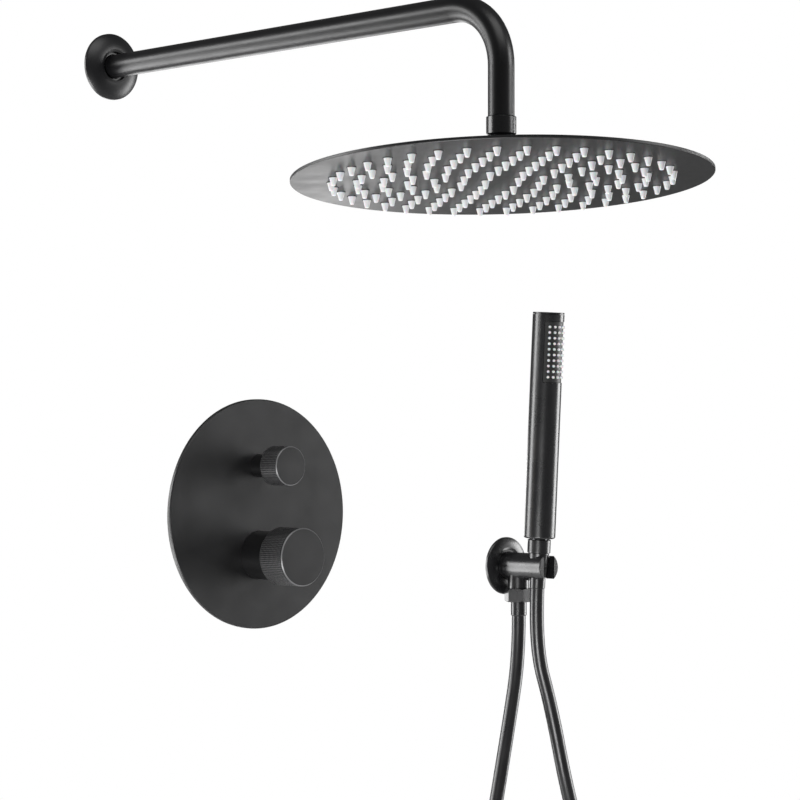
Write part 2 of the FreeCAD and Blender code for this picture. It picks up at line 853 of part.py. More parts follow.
hexagon = Part.Face(Part.makePolygon(corners)).extrude(V(0, 0, hex_height))
rounding = turned(
    [
        (0, -hex_bottom),
        (hex_across / 2 - 0.3, -hex_bottom),
        (corner_r, -hex_bottom + 1.3),
        (corner_r, -hex_top - 1.3),
        (hex_across / 2 - 0.3, -hex_top),
        (0, -hex_top),
    ],
    FreeCAD.Placement(),
)
hexagon = hexagon.common(rounding)
nut_bore = Part.makeCylinder(boss_r + snug_gap, hex_height + 1, V(0, 0, -ferrule_head))
nut_mouth = Part.makeCylinder(ferrule_r + snug_gap, hex_height, V(0, 0, -hex_bottom - 1))
parts["hose_nut_hex"] = put(hexagon.cut([nut_bore, nut_mouth]), nut_frame)
parts["hose_ferrule_outlet"] = turned(
    [
        (ferrule_bore_r, -washer_low - washer_gap),
        (washer_r, -washer_low - washer_gap),
        (washer_r, -ferrule_head),
        (ferrule_r, -ferrule_head),
        (ferrule_r, -ferrule_bottom + 2 * chamfer),
        (ferrule_r - 2 * chamfer, -ferrule_bottom),
        (ferrule_bore_r, -ferrule_bottom),
    ],
    nut_frame,
)

# ---- hose end at the hand shower: cone nut, washer and ferrule
cone_nut_top = cone_nut_foot + cone_nut_length
thread_floor = cone_nut_top - 9.0
parts["hose_cone_nut"] = turned(
    [
        (handset_thread_r + glide_gap, cone_nut_top),
        (cone_nut_r - chamfer, cone_nut_top),
        (cone_nut_r, cone_nut_top - chamfer),
        (cone_nut_r, cone_nut_foot + 0.6),
        (hole_radius(cone_nut_foot) - loose_gap, cone_nut_foot),
        (hole_radius(-cone_bottom) - loose_gap, -cone_bottom),
        (handset_ferrule_r + snug_gap, -cone_bottom),
        (handset_ferrule_r + snug_gap, thread_floor - 4.0),
        (washer_bore_r, thread_floor - 4.0),
        (washer_bore_r, thread_floor - 1.6),
        (handset_thread_r + glide_gap, thread_floor - 1.6),
    ],
    handset_frame,
)
parts["hose_washer_handset"] = ring(
    washer_bore_r, handset_thread_r - 0.1, thread_floor - 1.6, thread_floor - loose_gap, handset_frame
)
parts["hose_ferrule_handset"] = turned(
    [
        (4.0, -handset_ferrule_bottom),
        (handset_ferrule_r - 0.6, -handset_ferrule_bottom),
        (handset_ferrule_r, -handset_ferrule_bottom + 0.6),
        (handset_ferrule_r, thread_floor - 4.1),
        (4.0, thread_floor - 4.1),
    ],
    handset_frame,
)

# ---- hand shower
handset_top = handset_foot + handset_length
cap_bottom = handset_top - handset_cap
tube_top = cap_bottom - handset_cap_gap
floor_thickness = 3.0
handset_bore = handset_r - handset_wall
nipple_flange_r = 11.5
nipple_top = handset_foot + floor_thickness + 3.0
cap_plug = 4.0
parts["handset_nipple"] = turned(
    [
        (ferrule_bore_r, thread_floor),
        (handset_thread_r, thread_floor),
        (handset_thread_r, handset_foot + floor_thickness),
        (nipple_flange_r, handset_foot + floor_thickness),
        (nipple_flange_r, nipple_top),
        (ferrule_bore_r, nipple_top),
    ],
    handset_frame,
)
panel_top = handset_top - panel_from_top
panel_bottom = panel_top - panel_height


def sector(radius, low, high, half_angle):
    """A wedge of a cylinder that faces away from the wall."""
    wedge = Part.makeCylinder(radius, high - low, V(0, 0, low), V(0, 0, 1), 2 * half_angle)
    wedge.rotate(V(0, 0, 0), V(0, 0, 1), -90 - half_angle)
    return wedge


handset_shell = turned(
    [
        (handset_thread_r + snug_gap, handset_foot),
        (handset_r - 2.0, handset_foot),
        (handset_r - 0.6, handset_foot + 0.6, handset_r, handset_foot + 2.0),
        (handset_r, tube_top),
        (handset_bore, tube_top),
        (handset_bore, handset_foot + floor_thickness),
        (handset_thread_r + snug_gap, handset_foot + floor_thickness),
    ],
    FreeCAD.Placement(),
)
window = sector(handset_r + 2, panel_bottom, panel_top, panel_half_angle)
window = window.cut(Part.makeCylinder(handset_bore - 2, 2 * handset_length))
parts["handset_tube"] = put(handset_shell.cut(window), handset_frame)
parts["handset_top_cap"] = turned(
    [
        (0, tube_top - cap_plug),
        (handset_bore - snug_gap, tube_top - cap_plug),
        (handset_bore - snug_gap, cap_bottom),
        (handset_r - 0.1, cap_bottom),
        (handset_r - 0.1, handset_top - chamfer),
        (handset_r - 0.1 - chamfer, handset_top),
        (0, handset_top),
    ],
    handset_frame,
)
panel_r = handset_r - panel_recess
panel_skin = 1.4
panel_inner = panel_r - panel_skin
panel_margin = 0.25
margin_angle = math.degrees(panel_margin / panel_r)
panel_angle = panel_half_angle - margin_angle
panel = sector(panel_r, panel_bottom + panel_margin, panel_top - panel_margin, panel_angle)
panel = panel.cut(Part.makeCylinder(panel_inner, 2 * handset_length))
panel_middle = (panel_top + panel_bottom) / 2
panel_holes = []
panel_jets = []
jet_flange = 0.8
jet_root = panel_inner - jet_flange - 0.2
jet_end = panel_r + panel_nozzle_rise
for row in range(panel_rows):
    jet_height = panel_middle + (row - (panel_rows - 1) / 2) * panel_pitch
    for column in range(panel_columns):
        turn = -math.pi / 2 + (column - (panel_columns - 1) / 2) * panel_pitch / handset_r
        way = V(math.cos(turn), math.sin(turn), 0)
        jet_frame = FreeCAD.Placement(V(0, 0, jet_height), FreeCAD.Rotation(V(0, 0, 1), way))
        panel_holes.append(rod(panel_nozzle_r + snug_gap, jet_root, jet_end, jet_frame))
        jet = turned(
            [
                (0, jet_root),
                (panel_nozzle_r + 0.5, jet_root),
                (panel_nozzle_r + 0.5, jet_root + jet_flange),
                (panel_nozzle_r, jet_root + jet_flange),
                (panel_nozzle_r, panel_r),
                (0.75 * panel_nozzle_r, jet_end),
                (0, jet_end),
            ],
            jet_frame,
        )
        panel_jets.append(jet)
parts["handset_spray_panel"] = put(panel.cut(Part.makeCompound(panel_holes)), handset_frame)
parts["handset_nozzles"] = put(Part.makeCompound(panel_jets), handset_frame)
waterway_r = 7.5
parts["handset_waterway"] = ring(
    waterway_r - 2.5, waterway_r, nipple_top + snug_gap, tube_top - cap_plug - 2 * snug_gap, handset_frame
)

# ---- hose tube: straight runs joined by tangent arcs, each as large as its two runs allow
base = V(outlet_x, 0, outlet_z)
route = [base + V(*point) for point in hose_route]
route.append(handset_frame.multVec(V(0, 0, -handset_ferrule_bottom)))


def tube_along(points, radius):
    """The tube's solid, its length along the middle and the radius of each arc."""
    edges = []
    radii = []
    last = points[0]
    for before, corner, after in zip(points, points[1:], points[2:]):
        to_before = before - corner
        to_after = after - corner
        turn = math.pi - to_before.getAngle(to_after)
        setback = 0.45 * min(to_before.Length, to_after.Length)
        to_before.normalize()
        to_after.normalize()
        arc_r = setback / math.tan(turn / 2)
        start = corner + to_before * setback
        end = corner + to_after * setback
        inward = (to_before + to_after).normalize()
        middle = corner + inward * (arc_r / math.cos(turn / 2) - arc_r)
        edges.append(Part.LineSegment(last, start).toShape())
        edges.append(Part.Arc(start, middle, end).toShape())
        radii.append(arc_r)
        last = end
    edges.append(Part.LineSegment(last, points[-1]).toShape())
    path = Part.Wire(edges)
    circle = Part.Wire(Part.makeCircle(radius, points[0], points[1] - points[0]))
    return path.makePipeShell([circle], True, True), path.Length, radii


hose, hose_length, hose_bends = tube_along(route, hose_r)
parts["shower_hose"] = hose
volume_share = hose.Volume / (math.pi * hose_r**2 * hose_length)
print("hose length", round(hose_length, 1), "volume share", round(volume_share, 4))
print("hose bends", [round(r) for r in hose_bends])

os.makedirs("parts", exist_ok=True)
for name, shape in parts.items():
    shape.exportStep("parts/" + name + ".step")
    print(name, len(shape.Solids), "solid", shape.isValid(), round(shape.Volume))
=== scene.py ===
import bpy
import bmesh
import json
import math
from mathutils import Matrix, Vector


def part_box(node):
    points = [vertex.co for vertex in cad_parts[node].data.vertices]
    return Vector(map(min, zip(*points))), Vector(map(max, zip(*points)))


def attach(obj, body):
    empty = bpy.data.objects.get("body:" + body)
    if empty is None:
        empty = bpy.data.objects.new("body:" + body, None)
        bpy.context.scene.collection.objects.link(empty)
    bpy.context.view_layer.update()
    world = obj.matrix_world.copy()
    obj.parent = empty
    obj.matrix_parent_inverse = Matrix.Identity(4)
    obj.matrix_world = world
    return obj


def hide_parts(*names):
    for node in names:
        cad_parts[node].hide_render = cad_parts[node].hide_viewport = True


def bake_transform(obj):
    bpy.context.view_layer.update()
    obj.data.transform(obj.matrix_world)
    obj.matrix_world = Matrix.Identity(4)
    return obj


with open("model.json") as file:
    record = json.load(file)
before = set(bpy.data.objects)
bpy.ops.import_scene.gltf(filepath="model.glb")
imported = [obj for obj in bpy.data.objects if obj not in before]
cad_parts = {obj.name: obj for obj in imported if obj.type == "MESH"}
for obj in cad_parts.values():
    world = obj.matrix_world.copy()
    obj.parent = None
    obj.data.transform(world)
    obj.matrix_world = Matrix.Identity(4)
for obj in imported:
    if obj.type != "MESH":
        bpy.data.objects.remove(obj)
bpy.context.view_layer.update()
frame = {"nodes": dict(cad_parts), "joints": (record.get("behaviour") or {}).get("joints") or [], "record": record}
nodes = frame["nodes"]
joints = {joint["name"]: joint for joint in frame["joints"]}
mm = 0.001
scene = bpy.context.scene
print("frame loaded:", len(nodes), "nodes")

# camera: standing left of the set, almost level with the valve
cameraView = {"place": (-1.488, -1.722, 0.066), "azimuth": 44.0, "elevation": -0.84, "lens": 117.0}
cameraData = bpy.data.cameras.new("camera")
cameraData.lens = cameraView["lens"]
cameraData.sensor_width = 36
cameraData.clip_end = 50
camera = bpy.data.objects.new("camera", cameraData)
camera.location = cameraView["place"]
camera.rotation_euler = (
    math.radians(90 - cameraView["elevation"]), 0, math.radians(-cameraView["azimuth"]))
scene.collection.objects.link(camera)
scene.camera = camera


# mesh helpers
def pieceFrom(name, verts, faces, sharpAngle=32):
    mesh = bpy.data.meshes.new(name)
    mesh.from_pydata(verts, [], faces)
    bm = bmesh.new()
    bm.from_mesh(mesh)
    bmesh.ops.remove_doubles(bm, verts=bm.verts, dist=1e-7)
    bmesh.ops.recalc_face_normals(bm, faces=bm.faces)
    bm.to_mesh(mesh)
    bm.free()
    mesh.shade_smooth()
    mesh.set_sharp_from_angle(angle=math.radians(sharpAngle))
    piece = bpy.data.objects.new(name, mesh)
    scene.collection.objects.link(piece)
    return piece


def stitchRings(faces, first, steps, count):
    # quads between neighbouring copies of one profile, the last joined to the first
    for step in range(steps):
        here = first + step * count
        there = first + (step + 1) % steps * count
        for k in range(count - 1):
            faces.append((here + k, there + k, there + k + 1, here + k + 1))


def addTurned(verts, faces, profile, place, steps):
    # a profile of (radius, height) spun about the place's own z
    first = len(verts)
    for step in range(steps):
        turn = 2 * math.pi * step / steps
        for radius, height in profile:
            verts.append(place @ Vector((radius * math.cos(turn), radius * math.sin(turn), height)))
    stitchRings(faces, first, steps, len(profile))


def outOfWall(x, z):
    return Matrix.Translation((x, 0, z)) @ Matrix.Rotation(math.radians(90), 4, "X")


def alongAxis(point, axis):
    lean = Vector((0, 0, 1)).rotation_difference(Vector(axis)).to_matrix().to_4x4()
    return Matrix.Translation(point) @ lean


def wear(piece, *finishes):
    for finish in finishes:
        piece.data.materials.append(finish)


# the hose: one smooth line from the outlet down, round its loop and up to the holder
hose = {
    "outlet": (0.315, 0.0, -0.056),
    "diameter": 13.5 * mm,
    "sides": 28,
    "route": [
        (0.0, -17.5, -47.0), (0.0, -17.5, -88.0), (-15.0, -18.4, -150.0),
        (-36.0, -19.6, -232.0), (-61.0, -21.5, -325.0), (-82.0, -23.5, -415.0),
        (-86.0, -26.0, -495.0), (-50.0, -28.0, -548.0), (14.0, -31.0, -560.0),
        (78.0, -36.0, -534.0), (109.0, -44.0, -468.0), (94.0, -56.0, -382.0),
        (55.0, -59.0, -296.0), (25.0, -56.5, -212.0), (14.0, -47.0, -134.0),
        (0.0, -38.68, -74.88), (0.0, -41.849, -19.967),
    ],
}


def smoothLine(points):
    curve = bpy.data.curves.new("hoseLine", "CURVE")
    curve.dimensions = "3D"
    spline = curve.splines.new("NURBS")
    spline.points.add(len(points) - 1)
    for point, spot in zip(spline.points, points):
        point.co = (*spot, 1)
    spline.order_u = 3
    spline.use_endpoint_u = True
    spline.resolution_u = 22
    line = bpy.data.objects.new("hoseLine", curve)
    scene.collection.objects.link(line)
    bpy.context.view_layer.update()
    graph = bpy.context.evaluated_depsgraph_get()
    read = bpy.data.meshes.new_from_object(line.evaluated_get(graph))
    spots = [vert.co.copy() for vert in read.vertices]
    bpy.data.meshes.remove(read)
    bpy.data.objects.remove(line)
    return spots


def sweepTube(name, line, radius, sides):
    verts = []
    faces = []
    way = (line[1] - line[0]).normalized()
    side = way.cross(Vector((0, 1, 0))).normalized()
    for i, spot in enumerate(line):
        newWay = (line[min(i + 1, len(line) - 1)] - line[max(i - 1, 0)]).normalized()
        side = way.rotation_difference(newWay) @ side
        way = newWay
        other = way.cross(side)
        for k in range(sides):
            turn = 2 * math.pi * k / sides
            verts.append(spot + radius * (math.cos(turn) * side + math.sin(turn) * other))
    for i in range(len(line) - 1):
        for k in range(sides):
            nextK = (k + 1) % sides
            a = i * sides
            faces.append((a + k, a + nextK, a + sides + nextK, a + sides + k))
    faces.append(tuple(range(sides)))
    faces.append(tuple(len(verts) - sides + k for k in range(sides)))
    return pieceFrom(name, verts, faces, sharpAngle=60)


hoseStart = Vector(hose["outlet"])
hoseLine = smoothLine([hoseStart + Vector(spot) * mm for spot in hose["route"]])
hoseTube = sweepTube("hoseTube", hoseLine, hose["diameter"] / 2, hose["sides"])
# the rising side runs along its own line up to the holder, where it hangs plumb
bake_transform(hoseTube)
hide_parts("shower_hose")


# effects that several finishes share
def newGroup(name, inputs, outputs):
    group = bpy.data.node_groups.new(name, "ShaderNodeTree")
    for label, kind, value in inputs:
        group.interface.new_socket(label, in_out="INPUT", socket_type=kind).default_value = value
    for label, kind in outputs:
        group.interface.new_socket(label, in_out="OUTPUT", socket_type=kind)
    return group, group.nodes.new("NodeGroupInput"), group.nodes.new("NodeGroupOutput")


def joinNodes(tree, start, startSocket, end, endSocket):
    tree.links.new(start.outputs[startSocket], end.inputs[endSocket])


number = "NodeSocketFloat"
colour = "NodeSocketColor"


def makeCoating():
    # sprayed or moulded skin: slow drift of tone and gloss, fine grain in the height
    group, given, result = newGroup(
        "coatingSkin",
        [("Dark", colour, (0.01, 0.01, 0.011, 1)), ("Light", colour, (0.02, 0.02, 0.022, 1)),
         ("Tone Scale", number, 18), ("Gloss Low", number, 0.3), ("Gloss High", number, 0.4),
         ("Grain Scale", number, 2200), ("Grain Depth", number, 0.00001)],
        [("Color", colour), ("Roughness", number), ("Normal", "NodeSocketVector")])
    place = group.nodes.new("ShaderNodeTexCoord")
    tone = group.nodes.new("ShaderNodeTexNoise")
    tone.inputs["Detail"].default_value = 4
    joinNodes(group, place, "Object", tone, "Vector")
    joinNodes(group, given, "Tone Scale", tone, "Scale")
    blend = group.nodes.new("ShaderNodeMix")
    blend.data_type = "RGBA"
    # sockets 6, 7 and output 2 are the colour ones of a mix node
    joinNodes(group, tone, "Fac", blend, "Factor")
    joinNodes(group, given, "Dark", blend, 6)
    joinNodes(group, given, "Light", blend, 7)
    joinNodes(group, blend, 2, result, "Color")
    smear = group.nodes.new("ShaderNodeTexNoise")
    smear.inputs["Scale"].default_value = 41
    smear.inputs["Detail"].default_value = 3
    joinNodes(group, place, "Object", smear, "Vector")
    spread = group.nodes.new("ShaderNodeMapRange")
    spread.inputs["From Min"].default_value = 0.3
    spread.inputs["From Max"].default_value = 0.7
    joinNodes(group, smear, "Fac", spread, "Value")
    joinNodes(group, given, "Gloss Low", spread, "To Min")
    joinNodes(group, given, "Gloss High", spread, "To Max")
    joinNodes(group, spread, "Result", result, "Roughness")
    grain = group.nodes.new("ShaderNodeTexNoise")
    grain.inputs["Detail"].default_value = 2
    joinNodes(group, place, "Object", grain, "Vector")
    joinNodes(group, given, "Grain Scale", grain, "Scale")
    bump = group.nodes.new("ShaderNodeBump")
    joinNodes(group, grain, "Fac", bump, "Height")
    joinNodes(group, given, "Grain Depth", bump, "Distance")
    joinNodes(group, bump, "Normal", result, "Normal")
    return group


def makeToolMarks():
    # fine lines left by a lathe or brush, running round the wall axis
    group, given, result = newGroup(
        "toolMarks",
        [("Scale", number, 900), ("Depth", number, 0.000008),
         ("Normal", "NodeSocketVector", (0, 0, 0))],
        [("Lines", number), ("Normal", "NodeSocketVector")])
    place = group.nodes.new("ShaderNodeTexCoord")
    lines = group.nodes.new("ShaderNodeTexWave")
    lines.bands_direction = "Y"
    lines.inputs["Distortion"].default_value = 1.5
    lines.inputs["Detail"].default_value = 2
    joinNodes(group, place, "Object", lines, "Vector")
    joinNodes(group, given, "Scale", lines, "Scale")
    bump = group.nodes.new("ShaderNodeBump")
    joinNodes(group, lines, "Fac", bump, "Height")
    joinNodes(group, given, "Depth", bump, "Distance")
    joinNodes(group, given, "Normal", bump, "Normal")
    joinNodes(group, lines, "Fac", result, "Lines")
    joinNodes(group, bump, "Normal", result, "Normal")
    return group


coatingSkin = makeCoating()
toolMarks = makeToolMarks()


def newFinish(name, look):
    finish = bpy.data.materials.new(name)
    finish.use_nodes = True
    tree = finish.node_tree
    shader = tree.nodes["Principled BSDF"]
    shader.inputs["Metallic"].default_value = look.get("metallic", 0)
    shader.inputs["Specular IOR Level"].default_value = look.get("specular", 0.5)
    shader.inputs["Subsurface Weight"].default_value = look.get("soft", 0)
    shader.inputs["Subsurface Scale"].default_value = 0.002
    skin = tree.nodes.new("ShaderNodeGroup")
    skin.node_tree = coatingSkin
    skin.inputs["Dark"].default_value = (*look["dark"], 1)
    skin.inputs["Light"].default_value = (*look["light"], 1)
    skin.inputs["Tone Scale"].default_value = look.get("toneScale", 18)
    skin.inputs["Gloss Low"].default_value = look["gloss"][0]
    skin.inputs["Gloss High"].default_value = look["gloss"][1]
    skin.inputs["Grain Scale"].default_value = look.get("grainScale", 2200)
    skin.inputs["Grain Depth"].default_value = look.get("grainDepth", 0.00001)
    tree.links.new(skin.outputs["Color"], shader.inputs["Base Color"])
    tree.links.new(skin.outputs["Roughness"], shader.inputs["Roughness"])
    if "marks" in look:
        marks = tree.nodes.new("ShaderNodeGroup")
        marks.node_tree = toolMarks
        marks.inputs["Scale"].default_value = look["marks"]
        tree.links.new(skin.outputs["Normal"], marks.inputs["Normal"])
        tree.links.new(marks.outputs["Normal"], shader.inputs["Normal"])
    else:
        tree.links.new(skin.outputs["Normal"], shader.inputs["Normal"])
    return finish


# finishes
satinBlack = newFinish("satinBlackCoating", {
    "dark": (0.008, 0.008, 0.009), "light": (0.013, 0.013, 0.014), "gloss": (0.25, 0.31),
    "specular": 0.8, "grainScale": 1900, "grainDepth": 0.000012})
armBlack = newFinish("softBlackCoating", {
    "dark": (0.007, 0.007, 0.008), "light": (0.012, 0.012, 0.013), "gloss": (0.33, 0.39),
    "grainScale": 1700, "grainDepth": 0.000014})
plateBlack = newFinish("matteBlackPlate", {
    "dark": (0.0075, 0.0075, 0.008), "light": (0.011, 0.011, 0.0115), "gloss": (0.35, 0.41),
    "toneScale": 9, "grainScale": 1500, "grainDepth": 0.000016})
knobBlack = newFinish("knurledBlackCoating", {
    "dark": (0.008, 0.008, 0.0085), "light": (0.012, 0.012, 0.0125), "gloss": (0.34, 0.40),
    "grainScale": 2400, "grainDepth": 0.00001})
# painted highlight: a lighter black for the knob bevels and knurl pads, standing in for the light they catch
paintedHighlightFinish = newFinish("paintedBevelAndPadHighlight", {
    "dark": (0.13, 0.13, 0.133), "light": (0.19, 0.19, 0.195), "gloss": (0.30, 0.38),
    "toneScale": 60, "specular": 0.7, "grainScale": 2400, "grainDepth": 0.00001})
headBlack = newFinish("blackSpraySheet", {
    "dark": (0.009, 0.009, 0.0095), "light": (0.013, 0.013, 0.0135), "gloss": (0.36, 0.42),
    "toneScale": 7, "grainScale": 1600, "grainDepth": 0.000014})
# painted shade: near-black for the collars round the rain nozzles, standing in for the shadow in the holes at
# their bases
paintedRecessShade = newFinish("paintedNozzleRecessShade", {
    "dark": (0.006, 0.006, 0.006), "light": (0.011, 0.011, 0.011), "gloss": (0.55, 0.65)})
blackNickel = newFinish("blackNickel", {
    "dark": (0.085, 0.086, 0.09), "light": (0.12, 0.121, 0.126), "gloss": (0.16, 0.22),
    "metallic": 1, "grainScale": 900, "grainDepth": 0.000002})
brass = newFinish("machinedBrass", {
    "dark": (0.52, 0.36, 0.15), "light": (0.66, 0.49, 0.23), "gloss": (0.26, 0.38),
    "metallic": 1, "toneScale": 30, "grainScale": 1300, "grainDepth": 0.00001, "marks": 700})
castBrass = newFinish("castBrass", {
    "dark": (0.40, 0.28, 0.13), "light": (0.56, 0.42, 0.21), "gloss": (0.42, 0.58),
    "metallic": 1, "toneScale": 40, "grainScale": 700, "grainDepth": 0.00006})
steel = newFinish("brushedSteel", {
    "dark": (0.42, 0.42, 0.43), "light": (0.56, 0.56, 0.57), "gloss": (0.28, 0.4),
    "metallic": 1, "marks": 1100})
sealRubber = newFinish("sealRubber", {
    "dark": (0.018, 0.018, 0.018), "light": (0.03, 0.03, 0.03), "gloss": (0.6, 0.72),
    "grainScale": 1200, "grainDepth": 0.00002})
greySilicone = newFinish("greySilicone", {
    "dark": (0.76, 0.77, 0.78), "light": (0.86, 0.87, 0.88), "gloss": (0.34, 0.44),
    "soft": 0.2, "toneScale": 60, "grainScale": 2600, "grainDepth": 0.000008})
whitePlastic = newFinish("mouldedWhite", {
    "dark": (0.70, 0.70, 0.67), "light": (0.80, 0.80, 0.78), "gloss": (0.4, 0.5),
    "grainScale": 1500, "grainDepth": 0.00001})
blackPlastic = newFinish("mouldedBlack", {
    "dark": (0.012, 0.012, 0.012), "light": (0.02, 0.02, 0.02), "gloss": (0.42, 0.52),
    "grainScale": 2600, "grainDepth": 0.000015})
hoseSkin = newFinish("smoothBlackHose", {
    "dark": (0.010, 0.010, 0.011), "light": (0.017, 0.017, 0.018), "gloss": (0.26, 0.34),
    "toneScale": 25, "specular": 0.7, "grainScale": 900, "grainDepth": 0.00002})
wear(hoseTube, hoseSkin)

finishOfNodes = [
    (armBlack, "arm_tube arm_flange"),
    (satinBlack, "swivel_collar ball_nut head_hub outlet_body outlet_flange hose_nut_hex "
                 "hose_cone_nut hose_ferrule_outlet hose_ferrule_handset handset_tube "
                 "handset_top_cap"),
    (plateBlack, "trim_plate temperature_sleeve diverter_sleeve"),
    (headBlack, "head_top_plate head_spray_plate"),
    # arm_end_nipple is brass; the black nickel on it is painted shade for the gap where it shows
    (blackNickel, "ball_stud arm_end_nipple outlet_hose_spigot handset_nipple"),
    (brass, "temperature_cartridge_nut diverter_cartridge_nut temperature_spindle "
            "diverter_spindle hub_locknut"),
    (castBrass, "valve_body"),
    (steel, "filter_screen temperature_grub_screw diverter_grub_screw"),
    (sealRubber, "arm_flange_oring swivel_washer ball_seal plate_gasket temperature_sleeve_oring "
                 "diverter_sleeve_oring outlet_flange_oring hose_washer_outlet "
                 "hose_washer_handset"),
    (whitePlastic, "ball_liner ball_seat_ring temperature_cartridge diverter_cartridge "
                   "temperature_spline_adapter diverter_spline_adapter inlet_check_valves "
                   "handset_waterway"),
    (blackPlastic, "handset_spray_panel"),
]
for finish, names in finishOfNodes:
    for name in names.split():
        piece = nodes[name]
        if not piece.material_slots:
            piece.data.materials.append(finish)
        for holder in piece.material_slots:
            holder.material = finish
print("finishes made and given to the carried-over pieces")


# knurled knobs
def triangleWave(turns):
    share = turns % 1
    return 2 * min(share, 1 - share)


def makeKnob(name, knob):
    low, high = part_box(knob["node"])
    axis = joints[knob["joint"]]["pos_m"]
    place = outOfWall(axis[0], axis[2])
    back = -high[1]
    front = -low[1]
    radius = (high[2] - low[2]) / 2
    bevel = knob["bevel"]
    knurlLength = front - back - 2 * bevel - knob["plainBand"]
    rowCount = round(knurlLength / knob["pitch"]) * knob["padSteps"]
    rowStep = knurlLength / rowCount
    heights = [back + bevel + rowStep * k for k in range(rowCount + 1)]
    teeth = round(2 * math.pi * radius / knob["pitch"])
    steps = teeth * knob["padSteps"]
    inner = [(0.0, front - knob["web"]), (radius - knob["wall"], front - knob["web"]),
             (radius - knob["wall"], back), (radius - bevel, back), (radius, back + bevel)]
    outer = [(radius, front - bevel), (radius - bevel, front),
             (radius - knob["rim"] * bevel, front), (radius * 0.5, front), (0.0, front)]
    verts = []
    faces = []
    for step in range(steps):
        turn = 2 * math.pi * step / steps
        roundPad = min(1, triangleWave(step / knob["padSteps"]) * 2)
        profile = list(inner)
        for row, height in enumerate(heights):
            pad = 0
            if 0 < row < rowCount:
                pad = min(roundPad, triangleWave(row / knob["padSteps"]) * 2)
            profile.append((radius - knob["depth"] * (1 - pad), height))
        profile += outer
        for r, height in profile:
            verts.append(place @ Vector((r * math.cos(turn), r * math.sin(turn), height)))
    stitchRings(faces, 0, steps, len(profile))
    piece = pieceFrom(name, verts, faces, sharpAngle=26)
    wear(piece, knobBlack, paintedHighlightFinish)
    toKnob = place.inverted()
    for face in piece.data.polygons:  # painted highlight: the two bevels and the knurl's pads take a lighter colour that stands in for the light they catch
        spot = toKnob @ face.center
        reach = math.hypot(spot.x, spot.y)
        onBevel = (reach > radius - knob["bevelHighlightReach"] * bevel
                   and not back + bevel < spot.z < front - bevel)
        onPad = (reach > radius - knob["padHighlightReach"] * knob["depth"]
                 and spot.z < front - bevel - knob["plainBand"])
        face.material_index = int(onBevel or onPad)
    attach(piece, knob["body"])
    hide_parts(knob["node"])
    return piece


knobShape = {
    "wall": 3 * mm, "web": 4 * mm, "rim": 2.2, "padSteps": 4, "bevelHighlightReach": 1.1, "padHighlightReach": 0.4}
temperatureKnob = {
    **knobShape, "node": "temperature_knob", "body": "temperature_control",
    "joint": "temperature_turn",
    "pitch": 1.7 * mm, "depth": 0.32 * mm, "bevel": 0.9 * mm, "plainBand": 1.2 * mm}
diverterKnob = {
    **knobShape, "node": "diverter_knob", "body": "diverter_control",
    "joint": "diverter_turn",
    "pitch": 1.6 * mm, "depth": 0.3 * mm, "bevel": 0.8 * mm, "plainBand": 0.8 * mm}
makeKnob("temperatureKnob", temperatureKnob)
makeKnob("diverterKnob", diverterKnob)
print("knobs made")

# rain head: soft nozzles, each ringed by a dark collar that is painted shade for the hole round its base
rainNozzle = {
    "outerRing": 120.8, "ringStep": 18.1, "rings": 7, "innerCount": 2, "morePerRing": 6,
    "startAngle": 118.1, "tipSteps": 20, "collarSteps": 24, "matSteps": 96,
    "matLow": -20.35, "matHigh": -19.15, "matRadius": 129.8,
    "collar": [(3.55, -20.36), (3.55, -21.6), (3.4, -21.74), (3.0, -21.74), (2.9, -21.5)],
    "tip": [(2.85, -20.4), (2.85, -21.9), (2.68, -22.5), (1.62, -26.7), (1.46, -27.2),
            (1.22, -27.4), (0.72, -27.4), (0.6, -27.2), (0.55, -25.8), (0.0, -25.7)],
}
headAxisY = Vector(joints["head_side_tilt"]["axis"])
headAxisZ = Vector(joints["head_spin"]["axis"])
headPlace = Matrix.Translation(joints["head_spin"]["pos_m"]) @ Matrix(
    (headAxisY.cross(headAxisZ), headAxisY, headAxisZ)).transposed().to_4x4()


def nozzleSpots(nozzle):
    # each ring has six more nozzles than the one inside it, and all start on one line
    spots = []
    for ring in range(nozzle["rings"]):
        radius = nozzle["outerRing"] - (nozzle["rings"] - 1 - ring) * nozzle["ringStep"]
        count = nozzle["innerCount"] + ring * nozzle["morePerRing"]
        for k in range(count):
            turn = math.radians(nozzle["startAngle"] + k * 360 / count)
            spots.append((radius * math.cos(turn), radius * math.sin(turn)))
    return spots


def makeRainNozzles(nozzle):
    verts = []
    faces = []
    scale = Matrix.Scale(mm, 4)
    spots = nozzleSpots(nozzle)
    sheet = [(0.0, nozzle["matLow"]), (nozzle["matRadius"], nozzle["matLow"]),
             (nozzle["matRadius"], nozzle["matHigh"]), (0.0, nozzle["matHigh"])]
    addTurned(verts, faces, sheet, headPlace @ scale, nozzle["matSteps"])
    for x, y in spots:
        place = headPlace @ scale @ Matrix.Translation((x, y, 0))
        addTurned(verts, faces, nozzle["tip"], place, nozzle["tipSteps"])
    tips = pieceFrom("rainNozzles", verts, faces, sharpAngle=50)
    wear(tips, greySilicone)
    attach(tips, "rain_head")
    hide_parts("head_nozzle_mat")
    verts = []
    # painted shade: a dark collar round each nozzle base, put where the hole only shows shadow
    faces = []
    for x, y in spots:
        place = headPlace @ scale @ Matrix.Translation((x, y, 0))
        addTurned(verts, faces, nozzle["collar"], place, nozzle["collarSteps"])
    shadeCollars = pieceFrom("nozzleShadeCollars", verts, faces, sharpAngle=50)
    wear(shadeCollars, paintedRecessShade)
    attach(shadeCollars, "rain_head")
    return len(spots)


print("rain nozzles made:", makeRainNozzles(rainNozzle))

